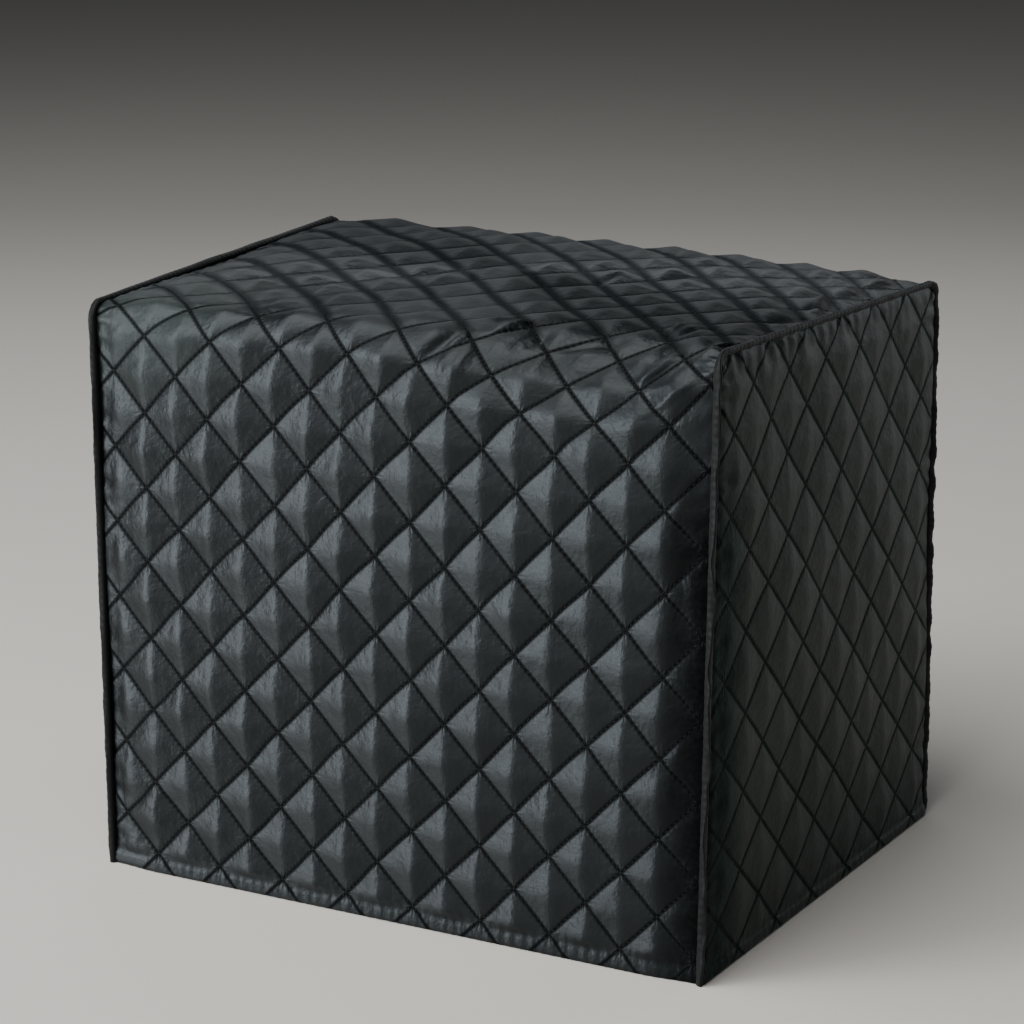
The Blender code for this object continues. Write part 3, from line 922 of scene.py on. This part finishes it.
class Finish:
    """A material that is being put together."""

    def __init__(self, name):
        self.material = bpy.data.materials.new(name)
        self.material.use_nodes = True
        self.tree = self.material.node_tree
        self.shader = self.tree.nodes["Principled BSDF"]

    def node(self, kind, settings=None, inputs=None, output=0):
        """Add a node with its settings, fill its sockets, and give one of its outputs."""
        node = self.tree.nodes.new(kind)
        for name, value in (settings or {}).items():
            setattr(node, name, value)
        for name, value in (inputs or {}).items():
            self.fill(node.inputs[name], value)
        return Value(self, node.outputs[output])

    def fill(self, socket, value):
        """Give a socket a number, a colour or the output of another node."""
        if isinstance(value, Value):
            self.tree.links.new(value.socket, socket)
        elif socket.type == "RGBA" and len(value) == 3:
            socket.default_value = (*value, 1.0)
        else:
            socket.default_value = value

    def mix(self, share, first, second):
        """A colour between two others."""
        settings = {"data_type": "RGBA"}
        return self.node("ShaderNodeMix", settings, {0: share, 6: first, 7: second}, 2)

    def noise(self, vector, scale, detail=2.0, roughness=0.5):
        """Cloudy noise from 0 to 1."""
        inputs = {"Vector": vector, "Scale": scale, "Detail": detail, "Roughness": roughness}
        return self.node("ShaderNodeTexNoise", None, inputs)

    def vector(self, x, y, z=0.0):
        """A vector from three numbers."""
        return self.node("ShaderNodeCombineXYZ", None, {0: x, 1: y, 2: z})

    def bump(self, height, strength, distance, under=None):
        """Relief, over other relief."""
        inputs = {"Height": height, "Strength": strength, "Distance": distance}
        if under is not None:
            inputs["Normal"] = under
        return self.node("ShaderNodeBump", None, inputs)

    def place(self):
        """The cover's own coordinates, in metres."""
        return self.node("ShaderNodeTexCoord", None, None, "Object")

    def parts(self, vector, count):
        """The first numbers of a vector."""
        return [self.node("ShaderNodeSeparateXYZ", None, {0: vector}, n) for n in range(count)]

    def cloth_place(self):
        """The place on the flat cloth, counted in half diamonds."""
        return self.parts(self.node("ShaderNodeUVMap", {"uv_map": "cloth"}), 2)

    def set(self, Metallic=0.0, **values):
        """Set the shader's own sockets, named with _ for a space."""
        for name, value in {"Metallic": Metallic, **values}.items():
            self.fill(self.shader.inputs[name.replace("_", " ")], value)
        return self.material


def stitch_lines(finish, a, b):
    """Across both sets of stitch lines: places, crossings, and how far past them these are."""
    places = (a + b) * 0.5, (a - b) * 0.5
    crossings = [place.maths("ROUND") for place in places]
    return places, crossings, [place - near for place, near in zip(places, crossings)]


def quilted_finish(name, satin, sheen_and_slub, rough, gloss, tint, stretch, sheen_and_slub_share):
    """Quilted satin: woven streaks, puckers at the stitches, painted shade in the grooves and at
    the right seam of the front, and painted sheen on the front left corner.

    The gloss is stretched up and down by the weave, as far as stretch says.
    """
    finish = Finish(name)
    a, b = finish.cloth_place()
    (p, q), (near_p, near_q), (dp, dq) = stitch_lines(finish, a, b)
    # Distances in millimetres
    from_p, from_q = dp.maths("ABSOLUTE") * SIDE_MM, dq.maths("ABSOLUTE") * SIDE_MM
    from_line = from_p.maths("MINIMUM", from_q)
    away = (dp * dp + dq * dq).maths("SQRT") * SIDE_MM
    angle = dp.maths("ARCTAN2", dq)
    spot = finish.vector(near_p, near_q)
    chance = finish.node("ShaderNodeTexWhiteNoise", None, {"Vector": spot})
    plane = finish.vector(a, b)
    cloud = finish.noise(plane, 1.7, 3.0, 0.55)
    fine_cloud = finish.noise(plane, 6.5, 3.0, 0.6)
    # Fine wrinkles that spread from the crossings
    spokes = (angle * 11.0 + chance * FULL_TURN + fine_cloud * 6.0).maths("SINE")
    spoke_fade = (1.0 - away.step(2.0, 10.0)) * away.step(0.3, 2.5)
    # Puckers across the stitch lines
    puckers = []
    for gap, along in ((from_p, q), (from_q, p)):
        run = (along * PUCKER_PACE + cloud * 9.0).maths("SINE")
        puckers.append(run * (1.0 - gap.step(0.6, 3.0)) * gap.step(0.1, 0.8))
    # Slubs of the weave, both ways
    slub_up = finish.noise(finish.vector(a * 26.0, b * 0.9), 1.0, 3.0, 0.65)
    slub_over = finish.noise(finish.vector(a * 0.9, b * 26.0), 1.0, 3.0, 0.65)
    # Soft crumpling of the thin cloth
    crumple = finish.noise(finish.vector(a, b, cloud), 3.2, 2.0, 0.5)
    relief = spokes * spoke_fade * 0.30 + (puckers[0] + puckers[1]) * 0.24 + crumple * 2.4
    normal = finish.bump(relief, 0.6, 0.00036)
    weave = slub_up * 0.6 + slub_over * 0.45
    normal = finish.bump(weave, 0.50, 0.00018, normal)
    # Painted sheen on the slumped front left corner, where the cloth catches the light, and
    # lighter slubs of the weave in streaks all over
    x, y, z = finish.parts(finish.place(), 3)
    corner = (1.0 - (x - SHEEN_CORNER_X).maths("ABSOLUTE").step(0.010, 0.085)) * z.step(0.255, 0.318)
    corner = corner * (1.0 - (y - SHEEN_CORNER_Y).maths("ABSOLUTE").step(0.02, 0.08))
    streaks = slub_up.step(0.48, 0.80) * 0.12 + slub_over.step(0.50, 0.80) * 0.07
    sheen_and_slub_mask = (corner * (0.45 + fine_cloud * 0.8) + streaks) * sheen_and_slub_share
    colour = finish.mix(sheen_and_slub_mask.maths("MINIMUM", 1.0), satin, sheen_and_slub)
    # Painted shade: the stitch grooves, one set of them widened over the top, and the cloth that
    # turns in to the right seam of the front are painted near black and made metallic, so that
    # they give almost no light
    up_there = z.step(0.318, 0.326)
    sunk = (1.0 - from_line.step(0.2, 2.0)) * 0.80
    top_groove_shade = (1.0 - from_p.step(0.5, 5.5)) * up_there * 0.75
    sunk = sunk.maths("MAXIMUM", top_groove_shade)
    seam_turn_shade = x.step(0.148, 0.188) * (1.0 - y.step(-0.120, -0.095)) * (0.55 + fine_cloud * 0.5)
    painted_shade = sunk.maths("MAXIMUM", seam_turn_shade.maths("MINIMUM", 0.92) * (1.0 - z.step(0.225, 0.29)))
    colour = finish.mix(painted_shade, colour, [0.1 * part for part in satin])
    varied = (cloud - 0.5) * 0.10 + (slub_over - 0.5) * 0.10 + (slub_up - 0.5) * 0.10
    return finish.set(
        Base_Color=colour,
        Roughness=varied + corner * 0.10 + sunk * 0.30 + rough,
        Normal=normal,
        Metallic=painted_shade,
        Specular_IOR_Level=gloss,
        Specular_Tint=(*tint, 1.0),
        Anisotropic=stretch,
        Anisotropic_Rotation=0.25,
    )


def satin_finish(colours):
    """The bluish black satin of the strip."""
    look = {"rough": 0.46, "gloss": 0.32, "tint": (0.84, 0.94, 1.0), "stretch": 0.74}
    return quilted_finish("quilted_satin", colours.satin, colours.sheen_and_slub, sheen_and_slub_share=1.0, **look)


def end_finish(colours):
    """The duller, slightly greenish satin of the ends, painted lighter than the strip's satin for
    the light that the ends catch.
    """
    look = {"rough": 0.52, "gloss": 0.28, "tint": (0.82, 1.0, 0.95), "stretch": 0.0}
    return quilted_finish("quilted_end", colours.lit_end_satin, colours.sheen_and_slub, sheen_and_slub_share=0.7, **look)


def lining_finish(colours):
    """The plain back of the quilted cloth, with its stitch lines pressed in."""
    finish = Finish("quilted_back")
    a, b = finish.cloth_place()
    dp, dq = stitch_lines(finish, a, b)[2]
    from_line = dp.maths("ABSOLUTE").maths("MINIMUM", dq.maths("ABSOLUTE")) * SIDE_MM
    cloud = finish.noise(finish.vector(a, b), 3.0, 3.0, 0.6)
    threads = finish.noise(finish.vector(a * 24.0, b * 24.0), 1.0, 2.0, 0.5)
    relief = from_line.step(0.0, 6.0) + cloud * 0.25 + threads * 0.05
    colour = finish.mix(from_line.step(0.2, 1.2), (0.004, 0.005, 0.006), colours.satin)
    return finish.set(
        Base_Color=colour,
        Roughness=0.62 + (cloud - 0.5) * 0.12,
        Normal=finish.bump(relief, 0.8, 0.0010),
        Specular_IOR_Level=0.4,
    )


def binding_finish(colours):
    """The folded binding: the same satin on the bias, dull in its folds, with a painted highlight
    in patches on its edge.
    """
    finish = Finish("edge_binding")
    place = finish.place()
    cloud = finish.noise(place, 90.0, 3.0, 0.6)
    fine = finish.noise(place, 900.0, 3.0, 0.6)
    round_it, along = finish.cloth_place()
    edge = (round_it - 0.5).maths("ABSOLUTE").step(0.30, 0.46)
    pucker = (along * BINDING_PUCKER_PACE + cloud * 5.0).maths("SINE")
    relief = pucker * 0.35 + cloud * 0.5 + fine * 0.25
    # Painted highlight: patches of the folded edge get the lighter sheen colour
    light = edge * cloud.step(0.42, 0.68) * 0.6
    colour = finish.mix(light, colours.binding, colours.sheen_and_slub)
    return finish.set(
        Base_Color=colour,
        Roughness=0.58 + (cloud - 0.5) * 0.16,
        Normal=finish.bump(relief, 0.6, 0.00035),
        Sheen_Weight=0.05,
        Sheen_Roughness=0.5,
        Sheen_Tint=(0.70, 0.76, 0.80),
        Specular_IOR_Level=0.15,
    )


def thread_finish(colours):
    """Twisted black sewing thread."""
    finish = Finish("sewing_thread")
    place = finish.place()
    twist = finish.noise(place, 2600.0, 1.0, 0.5)
    colour = finish.mix(twist.step(0.35, 0.75) * 0.5, colours.thread, colours.sheen_and_slub)
    return finish.set(
        Base_Color=colour,
        Roughness=0.50 + (twist - 0.5) * 0.1,
        Normal=finish.bump(twist, 0.5, 0.0001),
        Specular_IOR_Level=0.25,
    )


def floor_finish(colours):
    """A plain pale matt floor."""
    finish = Finish("studio_floor")
    cloud = finish.noise(finish.place(), 3.0, 2.0, 0.5)
    paler = [min(1.0, 1.04 * part) for part in colours.floor]
    return finish.set(
        Base_Color=finish.mix(cloud, colours.floor, paler),
        Roughness=0.85,
        Specular_IOR_Level=0.2,
    )


class Finishes:
    """The cloth's finishes, made once and shared by the pieces."""

    made = {}

    @classmethod
    def get(cls, maker):
        if maker not in cls.made:
            cls.made[maker] = maker(bpy.context.scene.cover_colours)
        return cls.made[maker]


def add_stitches(name, panel, spots):
    """Add the stitches at the given places as one piece."""
    sewing = bpy.context.scene.cover_sewing
    mesh = stitch_mesh(name, panel, sewing, spots)
    return add_piece(name, mesh, "edge_binding", [Finishes.get(thread_finish)])


def made_piece(name):
    """A piece that an earlier step has made."""
    piece = bpy.data.objects.get(name)
    if piece is None:
        raise RuntimeError(f"{name} has to be made first")
    return piece


class COVER_OT_strip(bpy.types.Operator):
    """Make the quilted strip of the front, top and back"""

    bl_idname = "cover.strip"
    bl_label = "Quilted strip"

    def execute(self, context):
        finishes = [Finishes.get(satin_finish), Finishes.get(lining_finish)]
        mesh = sheet_mesh("quilted_strip", strip_panel(Cloth(context.scene.cover_quilt)))
        add_piece("quilted_strip", mesh, "quilted_satin", finishes, "main_panel")
        return {"FINISHED"}


class COVER_OT_ends(bpy.types.Operator):
    """Make the quilted panels of both ends"""

    bl_idname = "cover.ends"
    bl_label = "Quilted ends"

    def execute(self, context):
        cloth = Cloth(context.scene.cover_quilt)
        finishes = [Finishes.get(end_finish), Finishes.get(lining_finish)]
        for end in ENDS:
            name = f"quilted_end_{end}"
            mesh = sheet_mesh(name, end_panel(cloth, end == "right"))
            add_piece(name, mesh, "quilted_satin", finishes, f"side_panel_{end}")
        return {"FINISHED"}


class COVER_OT_bindings(bpy.types.Operator):
    """Make the folded binding over each seam"""

    bl_idname = "cover.bindings"
    bl_label = "Bindings"

    def execute(self, context):
        cloth, finishes = Cloth(context.scene.cover_quilt), [Finishes.get(binding_finish)]
        for end in ENDS:
            name = f"binding_{end}"
            mesh = binding_mesh(name, cloth, context.scene.cover_sewing, end == "right")
            add_piece(name, mesh, "edge_binding", finishes, f"edge_binding_{end}")
        return {"FINISHED"}


class COVER_OT_stitches(bpy.types.Operator):
    """Make the stitches"""

    bl_idname = "cover.stitches"
    bl_label = "Stitches"

    def execute(self, context):
        cloth, sewing = Cloth(context.scene.cover_quilt), context.scene.cover_sewing
        panel = strip_panel(cloth)
        spots = stitch_places(panel, sewing)
        at_front = spots[:, 1] < HEIGHT + DEPTH / 2
        stitches = [
            add_stitches("stitches_front", panel, spots[at_front]),
            add_stitches("stitches_back", panel, spots[~at_front]),
        ]
        strip = made_piece("quilted_strip")
        for end in ENDS:
            panel = end_panel(cloth, end == "right")
            stitches = add_stitches(f"stitches_{end}", panel, stitch_places(panel, sewing))
            piece, binding = made_piece(f"quilted_end_{end}"), made_piece(f"binding_{end}")
        return {"FINISHED"}


class COVER_OT_studio(bpy.types.Operator):
    """Make the floor, the lights and the camera"""

    bl_idname = "cover.studio"
    bl_label = "Studio"

    def execute(self, context):
        add_floor(context.scene)
        add_lights(context.scene)
        add_camera(context.scene)
        return {"FINISHED"}


def add_floor(scene):
    """A wide, flat, pale floor."""
    corners = [(-1, -1), (1, -1), (1, 1), (-1, 1)]
    points = [(x * FLOOR_REACH, y * FLOOR_REACH, 0.0) for x, y in corners]
    mesh = bpy.data.meshes.new("studio_floor")
    mesh.from_pydata(points, [], [(0, 1, 2, 3)])
    mesh.materials.append(Finishes.get(floor_finish))
    floor = bpy.data.objects.new("studio_floor", mesh)
    scene.collection.objects.link(floor)


def add_lights(scene):
    """A key at the left front, a wide light overhead, and two behind."""
    studio = scene.cover_studio
    aim = Vector((0.0, 0.0, HEIGHT / 2))
    # Columns: name, place from the cover's centre, width, height, power, colour
    for name, place, wide, tall, power, colour in (
        ("key", (-2.02, -2.18, 0.46), 1.30, 1.00, studio.key, (0.97, 0.99, 1.0)),
        ("top", (-0.35, -0.95, 1.75), 1.8, 1.6, studio.top, (1.0, 0.98, 0.95)),
        ("fill", (1.15, 1.70, 0.42), 1.0, 0.9, studio.fill, (0.95, 0.97, 1.0)),
        ("back", (-0.75, 1.35, 0.95), 1.4, 0.5, studio.back, (0.94, 0.97, 1.0)),
    ):
        light = bpy.data.lights.new(f"studio_{name}", "AREA")
        light.shape = "RECTANGLE"
        light.size, light.size_y = wide, tall
        light.energy = power
        light.color = colour
        lamp = bpy.data.objects.new(f"studio_{name}", light)
        way = Vector(place)
        lamp.location = aim + way
        lamp.rotation_euler = way.to_track_quat("Z", "Y").to_euler()
        lamp.visible_camera = False
        scene.collection.objects.link(lamp)
    world = bpy.data.worlds.new("studio_sky")
    world.use_nodes = True
    sky = world.node_tree.nodes["Background"]
    sky.inputs["Color"].default_value = (0.90, 0.95, 1.0, 1.0)
    sky.inputs["Strength"].default_value = studio.sky
    scene.world = world


def add_camera(scene):
    """The camera at the photograph's angle."""
    lens = bpy.data.cameras.new("camera")
    lens.lens = FOCAL_LENGTH_MM
    lens.sensor_width = SENSOR_MM
    lens.clip_start = 0.05
    camera = bpy.data.objects.new("camera", lens)
    turn = Matrix.Rotation(math.radians(CAMERA_TURN), 4, "Z")
    tilt = Matrix.Rotation(math.radians(90 - CAMERA_DIP), 4, "X")
    roll = Matrix.Rotation(math.radians(CAMERA_ROLL), 4, "Z")
    place = Vector(CAMERA_PLACE) - Vector((MIDDLE_X, MIDDLE_Y, 0.0))
    camera.matrix_world = Matrix.Translation(place) @ turn @ tilt @ roll
    scene.collection.objects.link(camera)
    scene.camera = camera


class COVER_PT_panel(bpy.types.Panel):
    """The cover's steps and settings in the sidebar"""

    bl_idname = "COVER_PT_panel"
    bl_label = "Quilted cover"
    bl_space_type = "VIEW_3D"
    bl_region_type = "UI"
    bl_category = "Cover"

    def draw(self, context):
        scene = context.scene
        for step in STEPS:
            self.layout.operator(step.bl_idname)
        for group in GROUPS:
            settings = getattr(scene, group)
            box = self.layout.box()
            for name in settings.bl_rna.properties.keys():
                if name not in ("rna_type", "name"):
                    box.prop(settings, name)


GROUPS = {
    "cover_quilt": QuiltSettings,
    "cover_sewing": SewingSettings,
    "cover_colours": ColourSettings,
    "cover_studio": StudioSettings,
}
STEPS = (
    COVER_OT_strip,
    COVER_OT_ends,
    COVER_OT_bindings,
    COVER_OT_stitches,
    COVER_OT_studio,
)


def register():
    """Register the settings, the steps and the panel."""
    for name, group in GROUPS.items():
        bpy.utils.register_class(group)
        setattr(bpy.types.Scene, name, PointerProperty(type=group))
    for step in (*STEPS, COVER_PT_panel):
        bpy.utils.register_class(step)


def unregister():
    """Take away what register added."""
    for step in (COVER_PT_panel, *reversed(STEPS)):
        bpy.utils.unregister_class(step)
    for name, group in reversed(GROUPS.items()):
        delattr(bpy.types.Scene, name)
        bpy.utils.unregister_class(group)


def main():
    """Build the cover and its studio."""
    register()
    bpy.ops.cover.strip()
    bpy.ops.cover.ends()
    bpy.ops.cover.bindings()
    bpy.ops.cover.stitches()
    bpy.ops.cover.studio()


if __name__ == "__main__":
    main()
